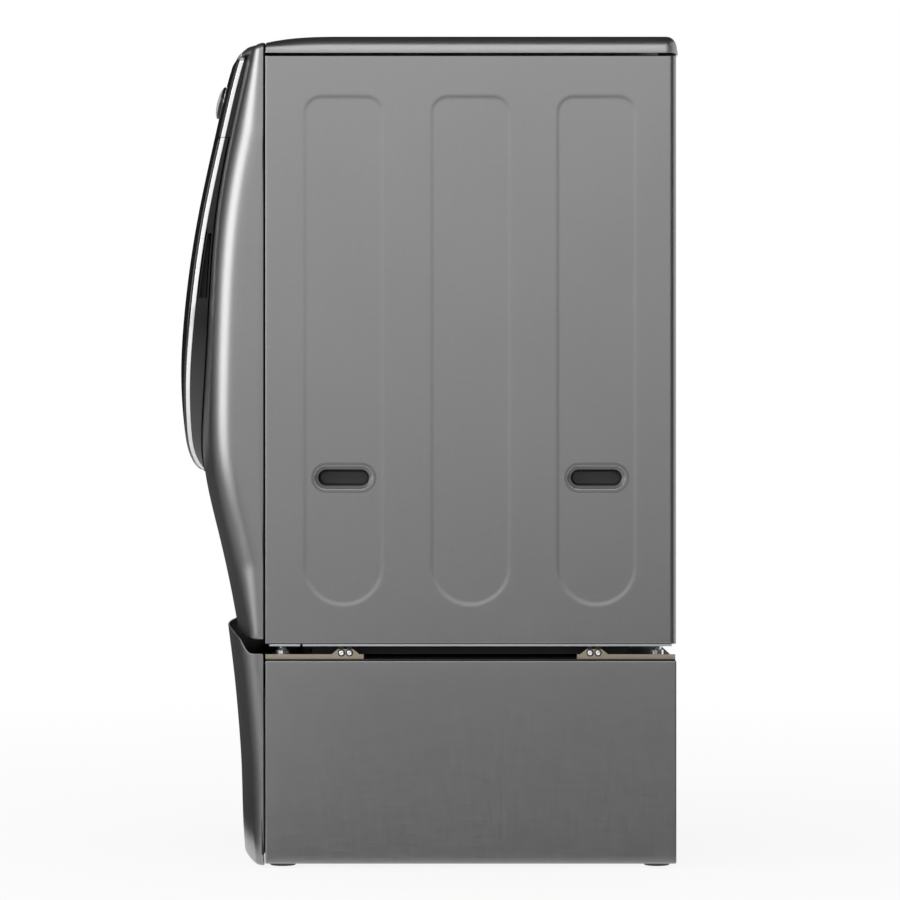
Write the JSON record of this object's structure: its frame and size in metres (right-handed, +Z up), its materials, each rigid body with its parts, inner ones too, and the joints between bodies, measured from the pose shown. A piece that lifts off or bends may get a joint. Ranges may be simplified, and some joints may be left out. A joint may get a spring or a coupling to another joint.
{
  "type": "front load washing machine",
  "caption": "Front load washing machine with a crowned glass door and control panel, rotating drum and detergent drawer, on a drawer pedestal.",
  "frame": {"origin": "middle of the footprint on the floor", "axes": "+Z up, front of the machine faces -Y, +X to the right for someone facing the front"},
  "size_m": [0.736, 0.8602, 1.4],
  "materials": {
    "graphite_metal": "satin graphite steel",
    "grey_sheet": "galvanised sheet",
    "dark_enamel": "dark enamelled sheet",
    "black_plastic": "moulded",
    "dark_glass": "gloss dark glass",
    "chrome_trim": "bright chrome",
    "button_plastic": "gloss",
    "tray_plastic": "moulded",
    "bowl_glass": "clear pressed glass",
    "zinc_steel": "bright zinc",
    "yellow_zinc": "passivated zinc",
    "grey_rubber": "matte",
    "stainless": "stainless",
    "white_plastic": "moulded",
    "concrete": "cast concrete",
    "cast_aluminium": "die cast",
    "motor_metal": "laminated and wound",
    "spring_steel": "oiled"
  },
  "bodies": {
    "cabinet": {"side_panel_right": "graphite_metal", "side_panel_left": "graphite_metal", "top_cover": "graphite_metal", "front_panel": "graphite_metal", "pedestal_side_right": "graphite_metal", "pedestal_side_left": "graphite_metal", "cross_braces": "grey_sheet", "rear_panel": "grey_sheet", "rear_access_cover": "grey_sheet", "pedestal_rear": "grey_sheet", "pedestal_base": "grey_sheet", "base_pan": "dark_enamel", "pedestal_deck": "dark_enamel", "carry_grips": "black_plastic", "control_fascia": "black_plastic", "dispenser_housing": "black_plastic", "shipping_bolt_caps": "black_plastic", "door_lock": "black_plastic", "power_gland": "black_plastic", "drain_outlet": "black_plastic", "control_box": "black_plastic", "drain_pump": "black_plastic", "fascia_glass": "dark_glass", "display_window": "dark_glass", "fascia_trim": "chrome_trim", "levelling_feet": "zinc_steel", "door_hinge_bracket": "zinc_steel", "bracket_screws": "zinc_steel", "drawer_slides_fixed": "zinc_steel", "drum_bearings": "zinc_steel", "mounting_brackets": "yellow_zinc", "door_gasket": "grey_rubber", "pedestal_feet": "grey_rubber", "tub_front": "white_plastic", "tub_rear": "white_plastic", "inlet_valve": "white_plastic", "counterweights": "concrete", "motor_stator": "motor_metal", "tub_springs": "spring_steel", "tub_dampers": "spring_steel"},
    "door": {"door_glass": "dark_glass", "door_rim": "chrome_trim", "door_frame": "black_plastic", "door_bowl": "bowl_glass", "door_hinge_leaf": "zinc_steel", "door_hinge_pin": "zinc_steel", "door_hook": "zinc_steel"},
    "knob": {"control_knob": "chrome_trim"},
    "power_button": {"power_button": "button_plastic"},
    "start_button": {"start_button": "button_plastic"},
    "detergent_drawer": {"detergent_drawer_front": "dark_glass", "detergent_drawer_tray": "tray_plastic"},
    "drum": {"drum_shell": "stainless", "drum_back": "stainless", "drum_lifters": "white_plastic", "drum_spider": "cast_aluminium", "motor_rotor": "motor_metal"},
    "pedestal_drawer": {"drawer_front": "graphite_metal", "drawer_box": "grey_sheet", "drawer_slides_moving": "zinc_steel"}
  },
  "joints": [
    {"name": "door_hinge", "type": "hinge", "parent": "cabinet", "child": "door", "pos_m": [-0.303, -0.373, 0.945], "axis": [0, 0, -1], "range_deg": [0, 110]},
    {"name": "knob_turn", "type": "hinge", "parent": "cabinet", "child": "knob", "pos_m": [0, -0.35451, 1.322], "axis": [0, -0.9681, 0.2504], "continuous": true},
    {"name": "power_press", "type": "slide", "parent": "cabinet", "child": "power_button", "axis": [0, 0.9681, -0.2504], "range_m": [0, 0.002], "stiffness_N_per_m": 600},
    {"name": "start_press", "type": "slide", "parent": "cabinet", "child": "start_button", "axis": [0, 0.9681, -0.2504], "range_m": [0, 0.002], "stiffness_N_per_m": 600},
    {"name": "detergent_slide", "type": "slide", "parent": "cabinet", "child": "detergent_drawer", "axis": [0, -1, 0], "range_m": [0, 0.24]},
    {"name": "drum_spin", "type": "hinge", "parent": "cabinet", "child": "drum", "pos_m": [0, 0, 0.92], "axis": [0, 1, 0], "continuous": true},
    {"name": "drawer_slide", "type": "slide", "parent": "cabinet", "child": "pedestal_drawer", "axis": [0, -1, 0], "range_m": [0, 0.42]}
  ]
}
